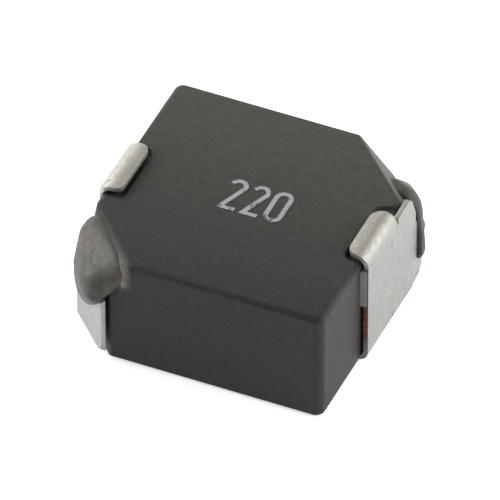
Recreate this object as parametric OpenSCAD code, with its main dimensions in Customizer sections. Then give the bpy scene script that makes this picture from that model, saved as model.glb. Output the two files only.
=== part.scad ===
// Shielded surface-mount power inductor.
// A ferrite drum with its winding sits in a square ferrite shield that is closed at the top.
// Two tinned clips on the sides carry the soldering pads; the wire ends leave through slots in
// the two cut corners, are soldered to the clips and sealed under beads of dark resin.
// Origin: centre of the footprint, at the underside of the soldering pads. +Z up, front -Y.
// Both sides share one design but differ in their measures: values that differ are pairs,
// left first. Each side is drawn as the right one, and the left one is turned into place.

/* [Shield] */
// Side of the square shield
core_w = 9.8; // [9.6:0.1:10.2]
// Height of the shield
core_h = 4.5; // [4.4:0.1:5]
// Rounding of the two whole upright corners
corner_r = 0.35; // [0.3:0.05:0.6]
// Rounding of the upper edges
edge_r = 0.22; // [0.1:0.02:0.3]
// Leg of the left cut corner, measured along the sides, below its facet
cut_leg_left = 1.75; // [1.65:0.05:1.85]
// Leg of the right cut corner below its facet
cut_leg_right = 1.5; // [1.4:0.05:1.6]
// Height of the left sloping facet
facet_h_left = 1.2; // [1.1:0.05:1.3]
// Height of the right sloping facet
facet_h_right = 1.45; // [1.3:0.05:1.5]
// Radius of the round cavity for the drum
cavity_r = 4.05; // [3.9:0.05:4.1]
// Thickness of the closed top
roof_t = 0.8; // [0.6:0.05:0.9]

/* [Clips] */
// Sheet thickness of the clips
clip_t = 0.18; // [0.15:0.01:0.22]
// Glue gap between a clip and the shield
glue_t = 0.1; // [0.08:0.01:0.14]
// Clip edge towards the plain corner, measured from the middle of the side
plate_front = 1.45; // [1.45:0.05:1.8]
// Length of the left top tab, in from the outer face
tab_len_left = 0.97; // [0.9:0.01:1.05]
// Length of the right top tab, in from the outer face
tab_len_right = 0.87; // [0.8:0.01:1]
// Length of the soldering pad, in from the outer face
pad_len = 2.1; // [1.6:0.05:2.3]
// Height of the top edge of the folded wing
wing_top = 2.65; // [2.4:0.05:2.8]
// How far the pads stand below the shield
pad_proud = 0.05; // [0.03:0.01:0.1]

/* [Drum and winding] */
// Radius of the lower flange
flange_r = 3.93; // [3.8:0.01:3.95]
// Radius of the upper flange
top_flange_r = 3.7; // [3.4:0.05:3.8]
// Radius of the post
post_r = 1.75; // [1.5:0.05:2]
// Wire diameter over the enamel
wire_d = 0.5; // [0.4:0.05:0.5]
// Turns in one layer
turns = 3; // [2:1:3]
// Layers of wire
layers = 3; // [2:1:3]

/* [Printed mark] */
// Height of the digits
digit_h = 1.65; // [1.2:0.05:2]
// Width of a digit
digit_w = 0.7; // [0.6:0.02:0.76]
// Stroke width
stroke = 0.17; // [0.12:0.01:0.2]
// Step from digit to digit
digit_step = 0.86; // [0.86:0.02:1.1]

/* [Hidden] */

half = core_w / 2;
core_z0 = pad_proud;
core_z1 = core_z0 + core_h;
over = 1;                       // overlap of cutting shapes
arc_steps = 8;                  // straight pieces in a rounded edge

// The cut corners are described by n, outward along the diagonal, and t, along the cut
cut_leg = [cut_leg_left, cut_leg_right];
cut_leg_top = [2.55, 2.85];     // legs at the top face
diag_low = [for (leg = cut_leg) (2 * half - leg) / sqrt(2)];
diag_top = [for (leg = cut_leg_top) (2 * half - leg) / sqrt(2)];
facet_z = [core_z1 - facet_h_left, core_z1 - facet_h_right];
facet_r = 0.3;
cut_edge_r = 0.2;
foot_r = 0.12;

// Clip: inner and outer face on the side of the shield
clip_in = half + glue_t;
clip_out = clip_in + clip_t;
fold_r = [0.65, 0.5];           // outer radius of the fold at the top
foot_fold_r = 0.4;              // outer radius of the fold at the pad
wing_fold_r = [0.35, 0.45];     // outer radius of the fold round the cut corner
tab_lift = 0.07;                // gap between the top face and the tab's underside
clip_z1 = core_z1 + tab_lift + clip_t;
plate_z1 = [for (r = fold_r) clip_z1 - r];

// Tab: its ends along the side, front and back, and the corners there
tab_len = [tab_len_left, tab_len_right];
tab_front = [1.01, 1.42];
tab_back = [1.58, 1.12];
tab_front_r = [0.35, 0.42];
tab_back_r = [0.28, 0.5];
neck_back = [1.22, 1.12];       // back end of the fold; the left tab widens behind it
neck_len = 0.3;
seat_top = 0.15;                // depth of the tab's seat
seat_play = 0.13;               // room round the tab and the pad in their seats
seat_front_r = [0.4, 0.45];     // inner corners of the tab's seat
seat_back_r = 0.35;
seat_back = [1.76, 1.47];       // back end of the seat, at its inner edge and at the side
seat_out = [1.76, 2.3];

// Plate and wing
pad_back = 2.55;
pad_r = 0.3;
seat_foot = clip_t - pad_proud + 0.04;
shank_y = 2.76;                 // the bead starts behind this edge of the plate
wing_gap = [0.15, 0.05];        // gap between the cut face and the wing
wing_in = diag_low + wing_gap;
wing_out = [for (n = wing_in) n + clip_t];
wing_z0 = 0.26;
wing_end = [1.15, 1.01];        // end of the wing, along the cut
wing_low_r = 0.3;               // free corners of the wing, low and high
wing_high_r = 0.15;
slot_y = pad_back + 0.12;       // the left plate is slit beside the pad
slot_z = 0.6;
relief_z = 1.05;                // the right plate is cut back where its folds would meet
relief_y = 3.75;

// Edge of plate and wing as points along y and z: below, from the pad on, and above, back
// from the wing; the left plate slopes down behind the tab, the right one stays high
plate_low = [
    [[pad_back, slot_z], [slot_y, slot_z], [slot_y, wing_z0]],
    [[3.1, foot_fold_r + 0.12], [3.4, 0.88], [3.5, relief_z], [relief_y, relief_z],
     [relief_y, wing_z0]]
];
plate_high = [
    [[3.3, wing_top], [shank_y, 3.1], [2, 3.25], [1.5, 3.4], [1.24, 3.7]],
    [[3.2, wing_top + 0.05], [shank_y, 3.2], [shank_y, 3.6], [2.42, 4.38], [2.2, core_z1 + 0.02],
     [1.2, core_z1 - 0.03], [1.2, plate_z1[1]]]
];

// Drum, from the underside up
drum_z0 = 0.3;
flange_t = 0.85;
wind_play = 0.06;               // room above and below the winding
window_h = turns * wire_d + 2 * wind_play;
top_flange_t = 0.8;
flange_bevel = 0.15;
ring_z0 = drum_z0 + flange_bevel;
ring_h = 0.5;                   // adhesive between the lower flange and the cavity
window_z = drum_z0 + flange_t;
drum_z1 = window_z + window_h + top_flange_t;
cavity_z1 = core_z1 - roof_t;

// Leads
lead_t = -0.45;                 // place of the lead along the cut corner
lead_z = window_z + window_h - wire_d / 2 - wind_play;
lead_slot_w = wire_d + 0.2;
lead_slot_in = cavity_r - 0.5;
wind_gap = 0.03;                // room between the post and the first layer
wind_r = post_r + wind_gap + layers * wire_d;
lead_end = wing_out + [0.07, 0.07];
lead_hole_r = wire_d / 2 + 0.04;
solder_z = 2.1;
solder_h = 0.05;                // height and radius of the solder cap
solder_r = 0.48;

// Resin between clip and shield: its ends in y and z; at the right it also covers the front
// edge of the plate
glue_front = [1.3, plate_front];
glue_back = [1.1, 2.1];
glue_z0 = 2.6;
glue_z1 = [3.9, 4.2];
fillet = [0.16, 0.05];          // reach of that cover, at the shield and at the plate's face

// Beads: a skin over three egg-shaped lobes, each a centre, with n from the cut face, and
// three radii along n, t and z
bead_lobes = [
    [[[-0.49, -1.06, 3.27], [0.74, 0.7, 1.19]],
     [[0.06, -0.64, 2.12], [0.42, 0.89, 1]],
     [[0.32, 0.43, 2.97], [0.43, 0.75, 0.69]]],
    [[[-0.44, -0.88, 3.1], [0.66, 0.88, 0.92]],
     [[-0.11, -0.77, 1.66], [0.41, 0.99, 0.58]],
     [[0.01, 0.07, 2.58], [0.48, 0.93, 0.55]]]
];

mark_x = 0.24;
mark_y = 0.04;
ink_t = 0.02;

// ---- helpers -------------------------------------------------------------------------------

function unit(v) = v / norm(v);

// Points that round the corner b of the convex outline a, b, c with radius r
function corner_arc(a, b, c, r) =
    let (u = unit(a - b), v = unit(c - b),
         turn = acos(max(-1, min(1, u * v))),
         mid = b + unit(u + v) * r / sin(turn / 2),
         p = b + u * r / tan(turn / 2) - mid,
         sweep = turn - 180)
    [for (i = [0 : arc_steps])
        let (w = -sweep * i / arc_steps)
        mid + [p[0] * cos(w) - p[1] * sin(w), p[0] * sin(w) + p[1] * cos(w)]];

// Convex outline, counter-clockwise, whose corners [x, y, radius] are rounded
function rounded(pts) =
    let (n = len(pts))
    [for (i = [0 : n - 1])
        let (a = pts[(i + n - 1) % n], b = pts[i], c = pts[(i + 1) % n],
             a2 = [a[0], a[1]], b2 = [b[0], b[1]], c2 = [c[0], c[1]])
        each (b[2] > 0 ? corner_arc(a2, b2, c2, b[2]) : [b2])];

// Points along an arc or a part of an ellipse
function arc_points(mid, rx, ry, a0, a1, steps) =
    [for (i = [0 : steps]) let (a = a0 + (a1 - a0) * i / steps) mid + [rx * cos(a), ry * sin(a)]];

// Puts a shape drawn as on the right side in place: side 0 is the left one, 1 the right one
module on_side(side) rotate([0, 0, side == 0 ? 180 : 0]) children();

// Stands a shape drawn with X along n, Y along t and Z up at the right-hand cut corner
module at_cut() rotate([0, 0, 45]) children();

// Extrudes an outline drawn in (n, z) along t
module along_t(width, shift = 0)
    translate([0, width / 2 + shift, 0]) rotate([90, 0, 0]) linear_extrude(width) children();

// ---- shield --------------------------------------------------------------------------------

// Section across the shield with its rounded edges
module shield_section()
    polygon(rounded([
        [-half, core_z0, foot_r], [half, core_z0, foot_r],
        [half, core_z1, edge_r], [-half, core_z1, edge_r]
    ]));

// One of the two blocks that cross to make the square
module shield_block() {
    depth = core_w - 2 * corner_r;
    translate([0, depth / 2, 0]) rotate([90, 0, 0]) linear_extrude(depth) shield_section();
}

// Quarter post that rounds the plain corner towards +X, -Y
module corner_post()
    translate([half - corner_r, corner_r - half, 0]) rotate([0, 0, -90])
        rotate_extrude(angle = 90, $fn = 48) polygon(rounded([
            [0, core_z0, 0], [corner_r, core_z0, foot_r],
            [corner_r, core_z1, edge_r], [0, core_z1, 0]
        ]));

// Plan of the square with its two cut corners
module cut_plan()
    polygon(rounded([
        [half, -half, 0],
        [half, half - cut_leg[1], cut_edge_r], [half - cut_leg[1], half, cut_edge_r],
        [-half, half, 0],
        [-half, cut_leg[0] - half, cut_edge_r], [cut_leg[0] - half, -half, cut_edge_r]
    ]));

// Section along the diagonal: the cut corners and the facets above them
module facet_section()
    polygon(rounded([
        [-diag_low[0], core_z0 - over, 0], [diag_low[1], core_z0 - over, 0],
        [diag_low[1], facet_z[1], facet_r], [diag_top[1], core_z1, facet_r],
        [-diag_top[0], core_z1, facet_r], [-diag_low[0], facet_z[0], facet_r]
    ]));

// The shield without its hollows
module shield_blank()
    intersection() {
        union() {
            shield_block();
            rotate([0, 0, 90]) shield_block();
            corner_post();
            rotate([0, 0, 180]) corner_post();
        }
        translate([0, 0, core_z0 - over]) linear_extrude(core_h + 2 * over) cut_plan();
        at_cut() along_t(2 * core_w) facet_section();
    }

// Shallow seat for a tab
module tab_seat(side) {
    inner = clip_out - tab_len[side] - seat_play;
    front = -tab_front[side] - seat_play;
    translate([0, 0, core_z1 - seat_top]) linear_extrude(over) polygon(rounded([
        [inner, front, seat_front_r[side]], [half + over, front, 0],
        [half + over, seat_out[side], 0], [inner, seat_back[side], seat_back_r]
    ]));
}

// Shallow seat for a pad
module pad_seat()
    translate([clip_out - pad_len - seat_play, -plate_front - seat_play, core_z0 - over])
        cube([pad_len + over, plate_front + pad_back + 2 * seat_play, over + seat_foot]);

// Slot that lets a lead out at the cut corner
module lead_slot(side)
    at_cut() translate([lead_slot_in, lead_t - lead_slot_w / 2, core_z0 - over])
        cube([diag_low[side] + over - lead_slot_in, lead_slot_w,
              lead_z + lead_slot_w / 2 - core_z0 + over]);

module shield_core()
    color([0.29, 0.28, 0.26]) difference() {
        shield_blank();
        translate([0, 0, core_z0 - over])
            cylinder(h = cavity_z1 - core_z0 + over, r = cavity_r, $fn = 128);
        for (side = [0, 1]) on_side(side) {
            tab_seat(side);
            pad_seat();
            lead_slot(side);
        }
    }

// ---- drum, winding, adhesive ---------------------------------------------------------------

module drum_core()
    color([0.2, 0.2, 0.2]) rotate_extrude($fn = 128) polygon([
        [0, drum_z0], [flange_r - flange_bevel, drum_z0], [flange_r, drum_z0 + flange_bevel],
        [flange_r, window_z], [post_r, window_z],
        [post_r, window_z + window_h], [top_flange_r, window_z + window_h],
        [top_flange_r, drum_z1 - flange_bevel], [top_flange_r - flange_bevel, drum_z1],
        [0, drum_z1]
    ]);

// Lead, straight out through its slot
module lead(side)
    at_cut() translate([wind_r - wire_d, lead_t, lead_z]) rotate([0, 90, 0])
        cylinder(h = lead_end[side] - wind_r + wire_d, d = wire_d, $fn = 32);

module coil_wire()
    color([0.72, 0.4, 0.2]) {
        wind_z = window_z + wind_play;
        inner = post_r + wind_gap;
        outer = wind_r - wire_d / 2;
        rotate_extrude($fn = 128) {
            translate([inner, wind_z]) square([outer - inner, turns * wire_d]);
            for (i = [0 : turns - 1])
                translate([outer, wind_z + (i + 0.5) * wire_d]) circle(d = wire_d, $fn = 32);
        }
        for (side = [0, 1]) on_side(side) lead(side);
    }

module core_adhesive()
    color([0.45, 0.4, 0.33]) translate([0, 0, ring_z0]) difference() {
        cylinder(h = ring_h, r = cavity_r, $fn = 128);
        translate([0, 0, -over]) cylinder(h = ring_h + 2 * over, r = flange_r, $fn = 128);
    }

// ---- clips ---------------------------------------------------------------------------------

// Plan of what lies inside a face at x = side and a face at n = cut, with a rounded corner
module clip_plan(side, cut, front, end, depth, r)
    polygon(rounded([
        [side - depth - 1, -front, 0], [side, -front, 0], [side, cut * sqrt(2) - side, r],
        [(cut - end) / sqrt(2), (cut + end) / sqrt(2), 0],
        [(cut - depth - end) / sqrt(2), (cut - depth + end) / sqrt(2), 0]
    ]));

// Plan of the inner and of the outer side of plate and wing
module inner_plan(side)
    clip_plan(clip_in, wing_in[side], plate_front + over, wing_end[side] + over, 4,
              wing_fold_r[side] - clip_t);

module outer_plan(side)
    clip_plan(clip_out, wing_out[side], plate_front, wing_end[side], 3, wing_fold_r[side]);

// The bent sheet between y0 and y1: tab, plate and pad as a section in x and z
module bent_sheet(side, y0, y1)
    translate([0, y1, 0]) rotate([90, 0, 0]) linear_extrude(y1 - y0) difference() {
        polygon(rounded([
            [half - 3, 0, 0], [clip_out, 0, foot_fold_r],
            [clip_out, clip_z1, fold_r[side]], [half - 3, clip_z1, 0]
        ]));
        polygon(rounded([
            [half - 4, clip_t, 0], [clip_in, clip_t, foot_fold_r - clip_t],
            [clip_in, clip_z1 - clip_t, fold_r[side] - clip_t], [half - 4, clip_z1 - clip_t, 0]
        ]));
    }

// Tab over the upper edge
module clip_tab(side) {
    inner = clip_out - tab_len[side];
    back = tab_back[side];
    intersection() {
        bent_sheet(side, -tab_front[side] - over, back + over);
        translate([0, 0, plate_z1[side]]) linear_extrude(over) polygon(rounded(concat(
            [[inner, -tab_front[side], tab_front_r[side]], [clip_out + over, -tab_front[side], 0],
             [clip_out + over, neck_back[side], 0]],
            neck_back[side] < back
                ? [[clip_out, neck_back[side], 0], [clip_out - neck_len, back, 0]] : [],
            [[inner, back, tab_back_r[side]]]
        )));
    }
}

// Soldering pad under the part, with the fold that carries it
module clip_foot(side)
    intersection() {
        bent_sheet(side, -plate_front - over, pad_back + over);
        translate([0, 0, -over]) linear_extrude(over + foot_fold_r) polygon(rounded([
            [clip_out - pad_len, -plate_front, pad_r], [clip_out + over, -plate_front, 0],
            [clip_out + over, pad_back, 0], [clip_out - pad_len, pad_back, pad_r]
        ]));
    }

// Outline of plate and wing, seen from the side: along y and z
module plate_outline(side) {
    end = (wing_out[side] + wing_end[side]) / sqrt(2);
    top = plate_z1[side];
    polygon(concat(
        [[-plate_front, foot_fold_r], [pad_back, foot_fold_r]],
        plate_low[side],
        corner_arc([end - 1, wing_z0], [end, wing_z0], [end, wing_top], wing_low_r),
        corner_arc([end, wing_z0], [end, wing_top], [end - 1, wing_top], wing_high_r),
        plate_high[side],
        [[neck_back[side], top]],
        corner_arc([0, top], [-plate_front, top], [-plate_front, 0],
                   plate_front - tab_front[side])
    ));
}

// Everything from the outer face of plate and wing inwards
module clip_block(side)
    intersection() {
        linear_extrude(core_z1 + over) outer_plan(side);
        rotate([90, 0, 90]) linear_extrude(core_w) plate_outline(side);
    }

// Side plate and the wing folded round the cut corner, with an open hole for the lead
module clip_plate(side)
    difference() {
        clip_block(side);
        translate([0, 0, -over]) linear_extrude(core_z1 + 3 * over) inner_plan(side);
        at_cut() translate([wing_in[side] - over / 2, lead_t, lead_z]) {
            rotate([0, 90, 0]) cylinder(h = over, r = lead_hole_r, $fn = 48);
            translate([0, -lead_hole_r, 0]) cube([over, 2 * lead_hole_r, over]);
        }
    }

module terminal(side)
    color([0.74, 0.74, 0.72]) on_side(side) {
        clip_plate(side);
        clip_tab(side);
        clip_foot(side);
    }

module terminal_left() terminal(0);
module terminal_right() terminal(1);

// Resin between clip and shield
module terminal_glue(side)
    color([0.5, 0.5, 0.48]) on_side(side) translate([0, 0, glue_z0])
        linear_extrude(glue_z1[side] - glue_z0) polygon(concat(
            [[clip_in, -glue_front[side]], [clip_in, glue_back[side]],
             [half, glue_back[side]]],
            side == 0 ? [[half, -glue_front[0]]]
                : [[half, -plate_front - fillet[0]], [clip_out - fillet[1], -plate_front - fillet[1]],
                   [clip_out - fillet[1], -plate_front]]
        ));

module terminal_glue_left() terminal_glue(0);
module terminal_glue_right() terminal_glue(1);

// ---- joints at the cut corners --------------------------------------------------------------

// Flat cap of solder on the wing round the lead's end, sunk into the wing when it cuts
module solder_cap(side, sunk)
    at_cut() translate([wing_out[side], lead_t, solder_z]) rotate([0, 90, 0])
        rotate_extrude($fn = 48) polygon(concat(
            [[0, -sunk]],
            sunk > 0 ? [[solder_r, -sunk]] : [],
            arc_points([0, 0], solder_r, solder_h, 0, 90, arc_steps)
        ));

module solder(side)
    color([0.8, 0.8, 0.8]) on_side(side) difference() {
        solder_cap(side, 0);
        lead(side);
    }

module solder_left() solder(0);
module solder_right() solder(1);

// The whole blob of resin, before what it clings to is taken out
module bead_blob(side)
    at_cut() translate([diag_low[side], 0, 0]) hull()
        for (lobe = bead_lobes[side])
            translate(lobe[0]) scale(lobe[1]) sphere(r = 1, $fn = 36);

// Resin bead: it lies on the facet, behind the side plate and over the wing
module corner_bead(side)
    color([0.36, 0.35, 0.34]) difference() {
        on_side(side) bead_blob(side);
        shield_blank();
        on_side(side) {
            translate([0, -half, 0]) cube([half + over, half + shank_y, clip_z1]);
            clip_block(side);
            solder_cap(side, clip_t / 2);
            lead(side);
        }
    }

module corner_bead_left() corner_bead(0);
module corner_bead_right() corner_bead(1);

// ---- printed mark ---------------------------------------------------------------------------

// Outline of a stroke of even width along a path of points
function side_of(path, k, w) =
    let (a = path[max(k - 1, 0)], b = path[k], c = path[min(k + 1, len(path) - 1)],
         u = unit(k == 0 ? c - b : b - a), v = unit(k == len(path) - 1 ? b - a : c - b),
         m = unit(u + v))
    b + [-m[1], m[0]] * w / 2 / (m * v);

module line_stroke(path)
    polygon(concat(
        [for (k = [0 : len(path) - 1]) side_of(path, k, stroke)],
        [for (k = [len(path) - 1 : -1 : 0]) side_of(path, k, -stroke)]
    ));

// Digits stand in a box from 0 to digit_w and 0 to digit_h
bow = (digit_w - stroke) / 2;

module digit_two()
    line_stroke(concat(
        arc_points([digit_w / 2, digit_h - stroke / 2 - bow], bow, bow, 165, -35, 14),
        [[stroke * 0.9, stroke / 2], [digit_w, stroke / 2]]
    ));

module digit_zero()
    difference() {
        rise = digit_h - digit_w;
        polygon(zero_outline(digit_w / 2, rise));
        polygon(zero_outline(bow - stroke / 2, rise));
    }

function zero_outline(r, rise) =
    concat(
        arc_points([digit_w / 2, digit_w / 2 + rise], r, r, 0, 180, 16),
        arc_points([digit_w / 2, digit_w / 2], r, r, 180, 360, 16)
    );

module value_mark()
    color([0.7, 0.7, 0.68])
        translate([mark_x - digit_step - digit_w / 2, mark_y - digit_h / 2, core_z1])
            linear_extrude(ink_t) {
                digit_two();
                translate([digit_step, 0]) digit_two();
                translate([2 * digit_step, 0]) digit_zero();
            }

shield_core();
drum_core();
coil_wire();
core_adhesive();
terminal_left();
terminal_right();
terminal_glue_left();
terminal_glue_right();
solder_left();
solder_right();
corner_bead_left();
corner_bead_right();
value_mark();
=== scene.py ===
"""Finishes for a shielded surface-mount inductor.

Dark ferrite shield with two cut corners, tinned clips that run from the top over the side to the
soldering pads underneath, resin beads over the wire joints and pale printed digits.
"""

import math

import bmesh
import bpy
from bpy.props import FloatProperty, FloatVectorProperty, PointerProperty
from mathutils import Matrix, Vector, noise


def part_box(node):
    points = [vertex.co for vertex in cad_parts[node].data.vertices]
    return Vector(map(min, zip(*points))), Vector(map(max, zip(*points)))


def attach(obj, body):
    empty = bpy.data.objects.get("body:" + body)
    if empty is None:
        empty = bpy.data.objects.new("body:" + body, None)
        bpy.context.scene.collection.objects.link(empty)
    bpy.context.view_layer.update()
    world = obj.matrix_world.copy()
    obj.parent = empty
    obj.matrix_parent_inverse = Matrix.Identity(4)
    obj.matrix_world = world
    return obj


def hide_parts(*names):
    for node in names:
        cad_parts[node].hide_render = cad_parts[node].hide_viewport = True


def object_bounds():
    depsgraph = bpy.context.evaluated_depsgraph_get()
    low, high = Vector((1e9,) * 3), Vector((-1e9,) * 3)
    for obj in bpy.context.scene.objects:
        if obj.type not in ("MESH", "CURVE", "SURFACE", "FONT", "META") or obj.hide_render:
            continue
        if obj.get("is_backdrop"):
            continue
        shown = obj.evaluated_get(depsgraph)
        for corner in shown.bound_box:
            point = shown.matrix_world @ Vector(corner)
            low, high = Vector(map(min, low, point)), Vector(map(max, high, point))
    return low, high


bl_info = {
    "name": "Shielded Surface-Mount Inductor",
    "version": (1, 0, 0),
    "blender": (4, 5, 0),
    "location": "View3D > Sidebar > Inductor",
    "description": "Dresses the inductor's pieces and lights them on a pale floor",
    "category": "Object",
}

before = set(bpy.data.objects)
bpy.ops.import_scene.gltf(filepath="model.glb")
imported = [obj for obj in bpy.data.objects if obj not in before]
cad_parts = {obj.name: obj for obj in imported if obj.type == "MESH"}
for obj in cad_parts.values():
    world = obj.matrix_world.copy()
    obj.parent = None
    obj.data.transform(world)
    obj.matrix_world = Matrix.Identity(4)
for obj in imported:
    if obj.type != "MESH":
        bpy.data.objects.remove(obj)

# A millimetre in metres, and the gap in metres below which two points are one
MM = 0.001
WELD = 1e-7

# Each side, with the sign that X and Y both have at its cut corner
TURNS = {"left": -1, "right": 1}

# Edges at which the surface turns by more than this are eased, on pieces with an edge rounding
SHARP = math.radians(50)

# Most of a cloudy noise lies between these values
NOISE_LOW = 0.3
NOISE_HIGH = 0.7

# Where resin ran beside each bead, from the middle of the facet over it: its place along the
# facet and up the slope, then half its length and width, in millimetres
RUNS = {
    "left": ((0.3, -0.1, 1.15, 0.6), (0.72, -0.55, 0.6, 0.45), (-1.0, -1.3, 0.3, 0.3)),
    "right": ((-0.35, -0.3, 0.5, 0.45),),
}

# How far below the middle of its facet a bead still joins the run
RUN_DEPTH = 1.1 * MM

# The lump that covers the sheet's fold beside a wire joint: its place aside, inwards and up from
# the joint, and its radius, in millimetres
FOLD_LUMP = (0.65, 0.21, 0.35, 0.28)

# Mesh size of a bead, and how often its skin is smoothed
BEAD_GRAIN = 0.033 * MM
BEAD_PASSES = 22

# Size of the lumps in a bead's skin, and how far the thick resin over a wire joint reaches
LUMP_SIZE = 0.8 * MM
JOINT_REACH = 0.9 * MM

# In shares of the lumps' height: what is added to the lumpy noise, how far the skin rises over
# the wire joint, and its least rise
LUMP_RISE = 0.4
JOINT_COVER = 1.3
LEAST_COVER = 0.6

# Heights between which a clip's front and back edges look like cut sheet, and get the cut-edge
# finish with its painted shade
CUT_LOW = 0.4 * MM
CUT_HIGH = 3.2 * MM

# Each soft light: its name, its azimuth and elevation in degrees, and its power in watts
LIGHTS = (
    ("right box", 105, 30, 0.86),
    ("left box", -80, 28, 1.0),
    ("left back box", -130, 25, 0.46),
    ("right back box", 150, 25, 0.3),
)

# Distance of the lights from the part, and the side of their squares, in metres
LIGHT_DISTANCE = 0.3
LIGHT_SIZE = 0.2


# ---- settings ------------------------------------------------------------------------------


def colour(name, description, default):
    """A colour setting, in linear light."""
    return FloatVectorProperty(
        name=name, description=description, default=default, subtype="COLOR", size=3, min=0, max=1
    )


def length(name, description, default):
    """A length setting, in metres."""
    return FloatProperty(
        name=name, description=description, default=default, min=0, unit="LENGTH", precision=6
    )


def share(name, description, default):
    """A setting between none and all."""
    return FloatProperty(
        name=name, description=description, default=default, min=0, max=1, subtype="FACTOR"
    )


def strength(name, description, default):
    """A brightness setting that has no upper end."""
    return FloatProperty(name=name, description=description, default=default, min=0)


def angle(name, description, degrees):
    """An angle setting."""
    return FloatProperty(
        name=name, description=description, default=math.radians(degrees), subtype="ANGLE"
    )


class FerriteSettings(bpy.types.PropertyGroup):
    """Shield and drum"""

    tone: colour("Tone", "Colour of the sintered ferrite", (0.027, 0.026, 0.0245))
    # Painted light: this colour paints the ferrite paler towards the back, standing in for the
    # stronger light that falls there
    painted_back_light: colour("Back tone", "Colour towards the back, fired paler", (0.062, 0.0575, 0.05))
    # Painted light: this colour paints the facets paler, standing in for the light they catch
    painted_facet_light: colour("Dust", "Colour of the dusty film on the facets", (0.14, 0.131, 0.114))
    patch: length("Patch size", "Size of the cloudy patches", 0.3 * MM)
    grain: length("Grain", "Size of the pressed grain", 0.07 * MM)
    relief: length("Relief", "Height of the grain", 0.006 * MM)
    roughness: share("Roughness", "Roughness of the surface", 0.5)
    gloss: share("Gloss", "Strength of its reflections", 0.15)
    left_round: length("Left rounding", "Radius of the left facet's side edges", 1.1 * MM)
    right_round: length("Right rounding", "Radius of the right facet's side edges", 0.5 * MM)


class ClipSettings(bpy.types.PropertyGroup):
    """Tinned clips"""

    tin: colour("Tin", "Colour of the tin plating", (0.39, 0.39, 0.378))
    warm_tin: colour("Warm tin", "Colour of the tin on the tabs", (0.42, 0.41, 0.365))
    copper: colour("Copper", "Colour of the bare cut edge", (0.24, 0.1, 0.065))
    edge: length("Edge rounding", "Rounding of the sheet's edges", 0.08 * MM)
    roughness: share("Roughness", "Roughness of the plating", 0.62)


class ResinSettings(bpy.types.PropertyGroup):
    """Beads, clip resin and core adhesive"""

    bead: colour("Bead", "Colour of the beads", (0.034, 0.0318, 0.029))
    # This colour tints the beads' cloudy patches, and also paints them paler high up as painted
    # light
    bead_haze_and_painted_light: colour("Bead haze", "Colour of the beads' cloudy patches", (0.074, 0.066, 0.055))
    bead_roughness: share("Bead roughness", "Roughness of the beads", 0.5)
    lump: length("Lumps", "Height of the lumps in the beads' skin", 0.08 * MM)
    shank: length("Shank", "Distance from the part's middle back to the right bead", 2.93 * MM)
    film: length("Film", "Thickness of the resin that ran onto the facets", 0.19 * MM)
    filler: colour("Filler", "Colour of the resin under the clips", (0.12, 0.12, 0.11))
    ease: length("Resin rounding", "Rounding of the resin under the clips", 0.04 * MM)
    adhesive: colour("Adhesive", "Colour of the adhesive round the drum", (0.16, 0.13, 0.1))


class WireSettings(bpy.types.PropertyGroup):
    """Winding and solder"""

    enamel: colour("Enamel", "Colour of the enamelled copper", (0.5, 0.18, 0.06))
    solder: colour("Solder", "Colour of the solder", (0.62, 0.62, 0.61))


class MarkSettings(bpy.types.PropertyGroup):
    """Printed digits"""

    ink: colour("Ink", "Colour of the ink", (0.285, 0.285, 0.29))
    wear: share("Wear", "How far the ink has worn away", 0.35)


class StageSettings(bpy.types.PropertyGroup):
    """Floor, light and camera"""

    floor: colour("Floor", "Colour of the floor", (0.86, 0.86, 0.86))
    glow: strength("Floor glow", "Light that the floor sheet gives off", 0.56)
    sky: strength("Sky", "Brightness of the surroundings", 0.08)
    azimuth: angle("Azimuth", "Camera's turn round the part, from the front", 23.72)
    elevation: angle("Elevation", "Camera's angle above the floor", 41.226)
    distance: length("Distance", "From the camera to the part", 0.4704)
    lens: FloatProperty(
        name="Lens", description="Focal length of the camera", default=963.7, min=1, unit="CAMERA"
    )


# ---- helpers: pieces -----------------------------------------------------------------------


def cad_form(node):
    """The form of a CAD node as a welded bmesh whose flat faces are whole."""
    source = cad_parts[node].data
    form = bmesh.new()
    form.from_mesh(source)
    # The form keeps no UVs and no other vectors that are stored at the faces' corners
    for layer in (form.loops.layers.uv, form.loops.layers.float_vector):
        for key in layer.keys():
            layer.remove(layer[key])
    bmesh.ops.remove_doubles(form, verts=form.verts, dist=WELD)
    bmesh.ops.dissolve_limit(
        form, angle_limit=math.radians(0.6), verts=form.verts, edges=form.edges
    )
    return form


def finish_form(form, name, edge=0.0, crisp=40.0):
    """Turns a form into a piece that rides on the part.

    Its sharp edges are eased by edge, and faces that meet at more than crisp degrees are shaded
    apart.
    """
    if edge:
        sharp = [e for e in form.edges if e.is_manifold and e.calc_face_angle(0) > SHARP]
        bmesh.ops.bevel(
            form, geom=sharp, offset=edge, offset_type="OFFSET", segments=3, profile=0.5,
            affect="EDGES", clamp_overlap=True,
        )
    bmesh.ops.recalc_face_normals(form, faces=form.faces)
    mesh = bpy.data.meshes.new(name)
    form.to_mesh(mesh)
    form.free()
    mesh.shade_smooth()
    mesh.set_sharp_from_angle(angle=math.radians(crisp))
    piece = bpy.data.objects.new(name, mesh)
    bpy.context.scene.collection.objects.link(piece)
    even = piece.modifiers.new("even shading", "WEIGHTED_NORMAL")
    even.keep_sharp = True
    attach(piece, "root")
    return piece


def dressed(node, name, edge):
    """A piece with the form of a CAD node, which it stands for, and with eased edges."""
    piece = finish_form(cad_form(node), name, edge)
    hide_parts(node)
    return piece


def refinish(node, material):
    """Gives a CAD node another material."""
    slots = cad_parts[node].data.materials
    slots.clear()
    slots.append(material)


def slice_off(form, point, normal):
    """Cuts away all that lies beyond a plane, and closes the cut."""
    bmesh.ops.bisect_plane(
        form, geom=form.verts[:] + form.edges[:] + form.faces[:], dist=WELD,
        plane_co=point, plane_no=normal, clear_outer=True,
    )
    bmesh.ops.holes_fill(form, edges=[e for e in form.edges if e.is_boundary], sides=0)


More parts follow.
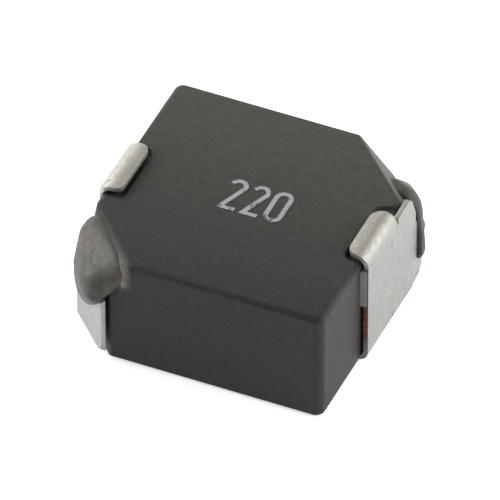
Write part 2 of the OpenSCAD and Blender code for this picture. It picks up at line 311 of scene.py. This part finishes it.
def roll_edge(form, point, first, second, radius, steps=4):
    """Rounds the edge through a point where two flat faces with given normals meet."""
    centre = point - radius * (first + second) / (1 + first.dot(second))
    for step in range(steps):
        way = first.slerp(second, (step + 0.5) / steps)
        slice_off(form, centre + radius * way, way)


def facet(form, turn):
    """The flat facet over the cut corner on one side: its middle and its normal."""
    # Its face is the largest that slopes and looks out over the corner
    sloping = [face for face in form.faces if 0.3 < face.normal.z < 0.95]
    outward = [f for f in sloping if min(turn * f.normal.x, turn * f.normal.y) > 0.2]
    largest = max(outward, key=lambda face: face.calc_area())
    return largest.calc_center_median_weighted(), largest.normal.copy()


def add_egg(form, centre, axes):
    """Adds an egg-shaped lump whose half axes are three vectors."""
    place = Matrix(axes).transposed().to_4x4()
    place.translation = centre
    bmesh.ops.create_icosphere(form, subdivisions=4, radius=1, matrix=place)


def wrap(form):
    """Stretches a skin round all the points of a form, and drops the points inside it."""
    spare = bmesh.ops.convex_hull(form, input=form.verts)
    loose = set(spare["geom_interior"]) | set(spare["geom_unused"])
    inner = [item for item in loose if isinstance(item, bmesh.types.BMVert)]
    bmesh.ops.delete(form, geom=inner, context="VERTS")


def join(form, other):
    """Adds another form to a form, and frees the other one."""
    mesh = bpy.data.meshes.new("joined")
    other.to_mesh(mesh)
    other.free()
    form.from_mesh(mesh)
    bpy.data.meshes.remove(mesh)


def melt(form, grain, passes):
    """Melts lumps that overlap into one soft skin with an even mesh."""
    mesh = bpy.data.meshes.new("melt")
    form.to_mesh(mesh)
    lump = bpy.data.objects.new("melt", mesh)
    bpy.context.scene.collection.objects.link(lump)
    merge = lump.modifiers.new("merge", "REMESH")
    merge.mode = "VOXEL"
    merge.voxel_size = grain
    soften = lump.modifiers.new("soften", "SMOOTH")
    soften.factor = 0.5
    soften.iterations = passes
    evaluated = lump.evaluated_get(bpy.context.evaluated_depsgraph_get())
    form.clear()
    form.from_mesh(evaluated.to_mesh())
    evaluated.to_mesh_clear()
    bpy.data.objects.remove(lump)
    bpy.data.meshes.remove(mesh)


# ---- helpers: finishes ---------------------------------------------------------------------


def scaled(tone, factor):
    """A colour made brighter or darker."""
    return [factor * part for part in tone]


class Finish:
    """Builds the node tree of one material, in the part's own coordinates."""

    def __init__(self, name, roughness, metallic=0.0):
        self.material = bpy.data.materials.new(name)
        self.material.use_nodes = True
        self.nodes = self.material.node_tree.nodes
        self.links = self.material.node_tree.links
        self.shader = self.nodes["Principled BSDF"]
        self.place = self.nodes.new("ShaderNodeTexCoord").outputs["Object"]
        self.tune("Roughness", roughness)
        self.tune("Metallic", metallic)

    def put(self, value, socket):
        """Links a socket, or sets a number or a colour."""
        if isinstance(value, bpy.types.NodeSocket):
            self.links.new(value, socket)
        elif hasattr(value, "__len__"):
            socket.default_value = (*value, 1.0)
        else:
            socket.default_value = value

    def tune(self, name, value):
        """Sets one of the shader's inputs to a socket, a number or a colour."""
        self.put(value, self.shader.inputs[name])

    def axis(self, letter):
        """The place along X, Y or Z."""
        node = self.nodes.new("ShaderNodeSeparateXYZ")
        self.links.new(self.place, node.inputs[0])
        return node.outputs[letter]

    def clouds(self, size, detail=3.0, stretch=(1, 1, 1), roughness=0.55):
        """Soft noise with features of a given size."""
        mapping = self.nodes.new("ShaderNodeMapping")
        mapping.inputs["Scale"].default_value = stretch
        self.links.new(self.place, mapping.inputs["Vector"])
        texture = self.nodes.new("ShaderNodeTexNoise")
        texture.inputs["Scale"].default_value = 1 / size
        texture.inputs["Detail"].default_value = detail
        texture.inputs["Roughness"].default_value = roughness
        self.links.new(mapping.outputs["Vector"], texture.inputs["Vector"])
        return texture.outputs["Fac"]

    def arithmetic(self, operation, first, second):
        """The result of one operation on two values, each a socket or a number."""
        node = self.nodes.new("ShaderNodeMath")
        node.operation = operation
        self.put(first, node.inputs[0])
        self.put(second, node.inputs[1])
        return node.outputs[0]

    def plus(self, first, second):
        """The sum of two values."""
        return self.arithmetic("ADD", first, second)

    def times(self, first, second):
        """The product of two values."""
        return self.arithmetic("MULTIPLY", first, second)

    def spread(self, value, low, high, to_low=0.0, to_high=1.0):
        """Stretches a range of a value onto another one, and clamps it."""
        node = self.nodes.new("ShaderNodeMapRange")
        for key, number in zip(
            ("From Min", "From Max", "To Min", "To Max"), (low, high, to_low, to_high)
        ):
            node.inputs[key].default_value = number
        self.links.new(value, node.inputs["Value"])
        return node.outputs["Result"]

    def mix(self, factor, first, second, blend="MIX"):
        """Mixes two colours, each a socket or three numbers."""
        node = self.nodes.new("ShaderNodeMix")
        node.data_type = "RGBA"
        node.blend_type = blend
        # The node has sockets for each data type: inputs 6 and 7 and output 2 are its colours
        self.put(factor, node.inputs["Factor"])
        self.put(first, node.inputs[6])
        self.put(second, node.inputs[7])
        return node.outputs[2]

    def mottle(self, tone, pattern, at_low, at_high, low=NOISE_LOW, high=NOISE_HIGH):
        """A colour times at_low where a pattern is low, up to at_high where it is high."""
        return self.mix(1.0, tone, self.spread(pattern, low, high, at_low, at_high), "MULTIPLY")

    def paint(self, tone):
        """Sets the base colour, a socket or three numbers."""
        self.tune("Base Color", tone)

    def roughen(self, pattern, least, most):
        """Lets the roughness follow a pattern."""
        self.tune("Roughness", self.spread(pattern, NOISE_LOW, NOISE_HIGH, least, most))

    def relief(self, height, depth):
        """Raises the surface by a height from 0 to 1 times a depth in metres."""
        node = self.nodes.new("ShaderNodeBump")
        node.inputs["Distance"].default_value = depth
        node.inputs["Strength"].default_value = 1.0
        self.links.new(height, node.inputs["Height"])
        normal = self.shader.inputs["Normal"]
        if normal.is_linked:
            self.links.new(normal.links[0].from_socket, node.inputs["Normal"])
        self.links.new(node.outputs["Normal"], normal)


def ferrite(name, settings):
    """Sintered ferrite: mottled dark grey, painted paler to the back and on the facets as painted
    light.
    """
    finish = Finish(name, settings.roughness)
    across = finish.axis("X")
    along = finish.axis("Y")
    # Painted light: towards the back the ferrite is painted paler, as if lit more strongly there
    front, back = (corner.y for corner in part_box("shield_core"))
    base = finish.mix(finish.spread(along, front, back), settings.tone, settings.painted_back_light)

    # Painted light: the facets are painted paler above their foot, and outwards along the
    # diagonal of the two cut corners, standing in for the light they catch
    patches = finish.clouds(settings.patch, detail=5.0, roughness=0.65)
    uneven = finish.spread(patches, 0.35, 0.65, 0.75, 1.25)
    raised = finish.times(finish.spread(finish.axis("Z"), 3.3 * MM, 3.6 * MM), uneven)
    outward = finish.times(finish.plus(across, along), math.sqrt(0.5))
    for start, full, most in ((-5.1 * MM, -5.35 * MM, 1.0), (4.95 * MM, 5.5 * MM, 0.15)):
        film = finish.times(finish.spread(outward, start, full, 0.0, most), raised)
        base = finish.mix(film, base, settings.painted_facet_light)

    grain = finish.clouds(settings.grain, detail=2.0)
    base = finish.mottle(base, patches, 0.84, 1.16)
    base = finish.mottle(base, grain, 0.8, 1.22)
    finish.paint(base)
    finish.roughen(patches, settings.roughness - 0.06, settings.roughness + 0.08)
    finish.relief(grain, settings.relief)
    finish.tune("Specular IOR Level", settings.gloss)
    return finish.material


def tinned(name, settings):
    """Tin plating: pale grey, warmer on the tabs, with faint rolling marks and dark nicks."""
    finish = Finish(name, settings.roughness, metallic=1.0)
    wander = finish.times(finish.clouds(0.8 * MM), 0.4 * MM)
    height = finish.plus(finish.axis("Z"), wander)
    tab = finish.spread(height, 4.5 * MM, 4.95 * MM)
    base = finish.mix(tab, settings.tin, settings.warm_tin)
    rolling = finish.clouds(0.12 * MM, detail=2.0, stretch=(1, 1, 0.15))
    nicks = finish.clouds(0.5 * MM, stretch=(1, 1, 0.3))
    base = finish.mottle(base, rolling, 0.9, 1.06)
    base = finish.mottle(base, nicks, 1.0, 0.6, low=0.66, high=0.72)
    finish.paint(base)
    smears = finish.clouds(0.25 * MM, detail=4.0)
    finish.roughen(smears, settings.roughness - 0.09, settings.roughness + 0.1)
    dents = finish.clouds(0.7 * MM, detail=2.0)
    ripples = finish.clouds(0.16 * MM)
    grain = finish.clouds(0.03 * MM, detail=2.0)
    finish.relief(dents, 0.05 * MM)
    finish.relief(ripples, 0.007 * MM)
    finish.relief(grain, 0.0015 * MM)
    return finish.material


def cut_edge_with_painted_shade(name, settings):
    """The sheet's cut edge: tin was drawn over it, except where the copper shows low down, and
    the tin is painted dark as painted shade.
    """
    finish = Finish(name, roughness=0.5, metallic=0.75)
    wander = finish.times(finish.clouds(0.3 * MM), 0.4 * MM)
    height = finish.plus(finish.axis("Z"), wander)
    over_pad = finish.spread(height, 1.15 * MM, 1.4 * MM)
    under_tab = finish.spread(height, 2.75 * MM, 2.5 * MM)
    bare = finish.times(over_pad, under_tab)
    # Painted shade: the tin on the cut edge is darkened to under half its colour, standing in for
    # the shade the edge lies in
    base = finish.mix(bare, scaled(settings.tin, 0.45), settings.copper)
    stains = finish.clouds(0.2 * MM)
    finish.paint(finish.mottle(base, stains, 0.6, 1.2, low=0.35, high=0.65))
    shear_marks = finish.clouds(0.05 * MM, detail=2.0, stretch=(1, 1, 0.2))
    finish.relief(shear_marks, 0.005 * MM)
    return finish.material


def resin(name, tone, haze, roughness, patch, thin=0.0):
    """Cured resin with hazy patches and a soft skin. High up, haze is added by thin as painted
    light.
    """
    finish = Finish(name, roughness)
    # Painted light: high up the resin is painted paler by thin, standing in for light falling on
    # its top
    height = finish.spread(finish.axis("Z"), 3.3 * MM, 4.3 * MM, 0.0, thin)
    patches = finish.spread(finish.clouds(patch, detail=4.0), 0.4, 0.62)
    finish.paint(finish.mix(finish.plus(patches, height), tone, haze))
    finish.roughen(finish.clouds(patch / 4), roughness - 0.08, roughness + 0.12)
    finish.relief(finish.clouds(patch / 3), 0.01 * MM)
    finish.tune("Specular IOR Level", 0.35)
    return finish.material


def enamelled(name, settings):
    """Copper under clear enamel."""
    finish = Finish(name, roughness=0.28, metallic=0.9)
    patches = finish.clouds(0.6 * MM)
    finish.paint(finish.mottle(settings.enamel, patches, 0.8, 1.1, low=0.35, high=0.65))
    finish.relief(finish.clouds(0.1 * MM, detail=2.0), 0.003 * MM)
    finish.tune("Coat Weight", 0.6)
    return finish.material


def frozen_solder(name, settings):
    """Solder that froze with a slightly crinkled skin."""
    finish = Finish(name, roughness=0.3, metallic=1.0)
    finish.paint(finish.mottle(settings.solder, finish.clouds(0.15 * MM), 0.85, 1.08))
    finish.relief(finish.clouds(0.1 * MM), 0.006 * MM)
    return finish.material


def ink(name, settings, ground):
    """Thin pale ink that has worn through here and there to the ferrite."""
    finish = Finish(name, roughness=0.6)
    thin = 0.62 - 0.3 * settings.wear
    gone = 0.8 - 0.3 * settings.wear
    worn = finish.spread(finish.clouds(0.28 * MM, detail=4.0), thin, gone)
    pale = finish.mottle(settings.ink, finish.clouds(0.05 * MM, detail=2.0), 0.8, 1.15)
    finish.paint(finish.mix(worn, pale, ground))
    finish.relief(finish.clouds(0.06 * MM, detail=2.0), 0.004 * MM)
    return finish.material


# ---- pieces --------------------------------------------------------------------------------


class INDUCTOR_OT_shield(bpy.types.Operator):
    """Dress the ferrite shield"""

    bl_idname = "inductor.shield"
    bl_label = "Shield"

    def execute(self, context):
        settings = context.scene.inductor_ferrite
        form = cad_form("shield_core")
        self.soften_facet(form, TURNS["left"], settings.left_round)
        self.soften_facet(form, TURNS["right"], settings.right_round)
        piece = finish_form(form, "shield")
        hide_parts("shield_core")
        piece.data.materials.append(ferrite("shield ferrite", settings))
        return {"FINISHED"}

    def soften_facet(self, form, turn, radius):
        """Rounds the two slanted edges of one corner's facet."""
        middle, normal = facet(form, turn)
        reach = normal.dot(middle)
        half = max(v.co.x for v in form.verts)
        for side in (Vector((turn, 0, 0)), Vector((0, turn, 0))):
            across = Vector((side.y, side.x, 0))
            # At floor height the facet's plane and the side's plane cross this far along the side
            shift = (reach - half * normal.dot(side)) / normal.dot(across)
            roll_edge(form, half * side + shift * across, side, normal, radius)


class INDUCTOR_OT_core(bpy.types.Operator):
    """Dress the drum, the winding, the adhesive ring and the solder inside"""

    bl_idname = "inductor.core"
    bl_label = "Drum and winding"

    def execute(self, context):
        scene = context.scene
        glue = scene.inductor_resin.adhesive
        refinish("drum_core", ferrite("drum ferrite", scene.inductor_ferrite))
        refinish("coil_wire", enamelled("enamelled wire", scene.inductor_wire))
        refinish("core_adhesive", self.mix_adhesive(glue))
        solder = frozen_solder("frozen solder", scene.inductor_wire)
        for side in TURNS:
            refinish(f"solder_{side}", solder)
        return {"FINISHED"}

    def mix_adhesive(self, tone):
        """The adhesive round the drum, with paler patches."""
        return resin("core adhesive", tone, scaled(tone, 1.6), roughness=0.5, patch=0.5 * MM)


class INDUCTOR_OT_clips(bpy.types.Operator):
    """Dress the tinned clips"""

    bl_idname = "inductor.clips"
    bl_label = "Clips"

    def execute(self, context):
        settings = context.scene.inductor_clip
        tin = tinned("tin plating", settings)
        cut = cut_edge_with_painted_shade("cut edge", settings)
        for side in TURNS:
            piece = dressed(f"terminal_{side}", f"clip_{side}", settings.edge)
            piece.data.materials.append(tin)
            piece.data.materials.append(cut)
            for face in piece.data.polygons:
                is_cut = abs(face.normal.y) > 0.99 and CUT_LOW < face.center.z < CUT_HIGH
                face.material_index = int(is_cut)
        return {"FINISHED"}


class INDUCTOR_OT_resins(bpy.types.Operator):
    """Dress the resin beads and the resin under the clips"""

    bl_idname = "inductor.resins"
    bl_label = "Resin"

    def execute(self, context):
        settings = context.scene.inductor_resin
        # The bead resin is painted paler high up, painted light
        dark = resin(
            "bead resin", settings.bead, settings.bead_haze_and_painted_light,
            roughness=settings.bead_roughness, patch=0.7 * MM, thin=0.6,
        )
        grey = resin(
            "clip resin", settings.filler, scaled(settings.filler, 1.3),
            roughness=0.5, patch=0.4 * MM,
        )
        for side in TURNS:
            bead = self.lay_bead(side, settings)
            bead.data.materials.append(dark)
            pad = dressed(f"terminal_glue_{side}", f"resin_{side}", settings.ease)
            pad.data.materials.append(grey)
        return {"FINISHED"}

    def lay_bead(self, side, settings):
        """The bead over one wire joint, with its run on the facet and its lumpy skin."""
        form = cad_form(f"corner_bead_{side}")
        if side == "right":
            slice_off(form, Vector((0, settings.shank, 0)), Vector((0, -1, 0)))
        low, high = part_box(f"solder_{side}")
        joint = (low + high) / 2
        self.spread_on_facet(form, side, settings.film)
        self.cover_fold(form, TURNS[side], joint)
        melt(form, BEAD_GRAIN, BEAD_PASSES)
        self.sag(form, joint, settings.lump)
        bead = finish_form(form, f"bead_{side}", crisp=80)
        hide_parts(f"corner_bead_{side}")
        return bead

    def spread_on_facet(self, form, side, height):
        """Adds the run of resin that links a bead to the facet and fills its hollows."""
        shield = cad_form("shield_core")
        middle, normal = facet(shield, TURNS[side])
        shield.free()
        along = Vector((0, 0, 1)).cross(normal).normalized()
        up = normal.cross(along)
        run = bmesh.new()
        for vert in form.verts:
            if vert.co.z > middle.z - RUN_DEPTH:
                run.verts.new(vert.co)
        for shift, rise, half_length, half_width in RUNS[side]:
            centre = middle - normal * height + (along * shift + up * rise) * MM
            axes = (along * half_length * MM, up * half_width * MM, normal * 2 * height)
            add_egg(run, centre, axes)
        wrap(run)
        join(form, run)

    def cover_fold(self, form, turn, joint):
        """Thickens a bead where the sheet's fold lies just under it, beside the wire joint."""
        aside, inwards, rise, radius = FOLD_LUMP
        outward = Vector((turn, turn, 0)).normalized()
        along = Vector((-outward.y, outward.x, 0))
        middle = joint - (aside * along + inwards * outward - Vector((0, 0, rise))) * MM
        bmesh.ops.create_icosphere(
            form, subdivisions=3, radius=radius * MM, matrix=Matrix.Translation(middle)
        )

    def sag(self, form, joint, depth):
        """Gives a bead the uneven skin of resin laid on by hand, inside the part's box.

        It is thicker over the wire joint.
        """
        low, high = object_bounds()
        form.normal_update()
        for vert in form.verts:
            lump = noise.noise(vert.co / LUMP_SIZE) + LUMP_RISE
            cover = JOINT_COVER * max(0, 1 - (vert.co - joint).length / JOINT_REACH)
            place = vert.co + vert.normal * depth * max(lump, cover, LEAST_COVER)
            vert.co = [min(max(at, least), most) for at, least, most in zip(place, low, high)]


class INDUCTOR_OT_mark(bpy.types.Operator):
    """Ink the printed digits"""

    bl_idname = "inductor.mark"
    bl_label = "Printed mark"

    def execute(self, context):
        scene = context.scene
        refinish("value_mark", ink("worn ink", scene.inductor_mark, scene.inductor_ferrite.tone))
        return {"FINISHED"}


# ---- stage ---------------------------------------------------------------------------------


def direction(azimuth, elevation):
    """The way from the part towards a turn and a height angle, as for the camera."""
    return Vector((
        math.sin(azimuth) * math.cos(elevation),
        -math.cos(azimuth) * math.cos(elevation),
        math.sin(elevation),
    ))


def look_back(way):
    """The rotation of a light or camera that stands out along a way and looks back along it."""
    return (-way).to_track_quat("-Z", "Y").to_euler()


def soft_light(name, azimuth, elevation, watts):
    """A square soft light that faces the part. Angles in degrees."""
    light = bpy.data.lights.new(name, "AREA")
    light.size = LIGHT_SIZE
    light.energy = watts
    lamp = bpy.data.objects.new(name, light)
    way = direction(math.radians(azimuth), math.radians(elevation))
    lamp.location = way * LIGHT_DISTANCE
    lamp.rotation_euler = look_back(way)
    bpy.context.scene.collection.objects.link(lamp)


class INDUCTOR_OT_stage(bpy.types.Operator):
    """Lay the floor and set the lights and the camera"""

    bl_idname = "inductor.stage"
    bl_label = "Stage"

    def execute(self, context):
        scene = context.scene
        settings = scene.inductor_stage
        self.lay_floor(settings)
        self.light_room(scene, settings)
        self.place_camera(scene, settings)
        scene.view_settings.view_transform = "Standard"
        return {"FINISHED"}

    def lay_floor(self, settings):
        """A wide pale sheet just under the part, which glows a little."""
        form = bmesh.new()
        bmesh.ops.create_grid(form, x_segments=8, y_segments=8, size=1.5)
        mesh = bpy.data.meshes.new("floor")
        form.to_mesh(mesh)
        form.free()
        floor = bpy.data.objects.new("floor", mesh)
        floor.location.z = -WELD
        bpy.context.scene.collection.objects.link(floor)
        finish = Finish("floor sheet", roughness=0.9)
        finish.paint(settings.floor)
        finish.tune("Emission Color", (1, 1, 1))
        finish.tune("Emission Strength", settings.glow)
        mesh.materials.append(finish.material)
        floor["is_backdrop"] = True

    def light_room(self, scene, settings):
        """Dim white surroundings and four soft lights."""
        world = bpy.data.worlds.new("studio")
        world.use_nodes = True
        backdrop = world.node_tree.nodes["Background"].inputs
        backdrop["Color"].default_value = (1, 1, 1, 1)
        backdrop["Strength"].default_value = settings.sky
        scene.world = world
        for light in LIGHTS:
            soft_light(*light)

    def place_camera(self, scene, settings):
        """A long lens that looks down on the front right corner."""
        low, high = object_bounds()
        # The lens points a little below half the part's height
        aim = Vector((0, 0, 0.48 * (low.z + high.z)))
        way = direction(settings.azimuth, settings.elevation)
        lens = bpy.data.cameras.new("camera")
        lens.lens = settings.lens
        lens.shift_x = 0.00174
        lens.shift_y = -0.00356
        lens.clip_start = 0.01
        camera = bpy.data.objects.new("camera", lens)
        camera.location = aim + way * settings.distance
        camera.rotation_euler = look_back(way)
        scene.collection.objects.link(camera)
        scene.camera = camera


# ---- sidebar -------------------------------------------------------------------------------

STEPS = (
    INDUCTOR_OT_shield,
    INDUCTOR_OT_core,
    INDUCTOR_OT_clips,
    INDUCTOR_OT_resins,
    INDUCTOR_OT_mark,
    INDUCTOR_OT_stage,
)

SETTINGS = {
    "inductor_ferrite": FerriteSettings,
    "inductor_clip": ClipSettings,
    "inductor_resin": ResinSettings,
    "inductor_wire": WireSettings,
    "inductor_mark": MarkSettings,
    "inductor_stage": StageSettings,
}


class INDUCTOR_PT_panel(bpy.types.Panel):
    """The steps and their settings"""

    bl_idname = "INDUCTOR_PT_panel"
    bl_label = "Inductor"
    bl_space_type = "VIEW_3D"
    bl_region_type = "UI"
    bl_category = "Inductor"

    def draw(self, context):
        for step in STEPS:
            self.layout.operator(step.bl_idname)
        for name, group in SETTINGS.items():
            box = self.layout.box()
            box.label(text=group.__doc__)
            for key in group.__annotations__:
                box.prop(getattr(context.scene, name), key)


def register():
    """Registers the settings, the steps and the panel."""
    for group in SETTINGS.values():
        bpy.utils.register_class(group)
    for name, group in SETTINGS.items():
        setattr(bpy.types.Scene, name, PointerProperty(type=group))
    for step in STEPS:
        bpy.utils.register_class(step)
    bpy.utils.register_class(INDUCTOR_PT_panel)


def unregister():
    """Takes them away again."""
    bpy.utils.unregister_class(INDUCTOR_PT_panel)
    for step in reversed(STEPS):
        bpy.utils.unregister_class(step)
    for name, group in SETTINGS.items():
        delattr(bpy.types.Scene, name)
        bpy.utils.unregister_class(group)


def main():
    """Runs the steps in order."""
    register()
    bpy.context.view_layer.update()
    bpy.ops.inductor.shield()
    bpy.ops.inductor.core()
    bpy.ops.inductor.clips()
    bpy.ops.inductor.resins()
    bpy.ops.inductor.mark()
    bpy.ops.inductor.stage()


if __name__ == "__main__":
    main()
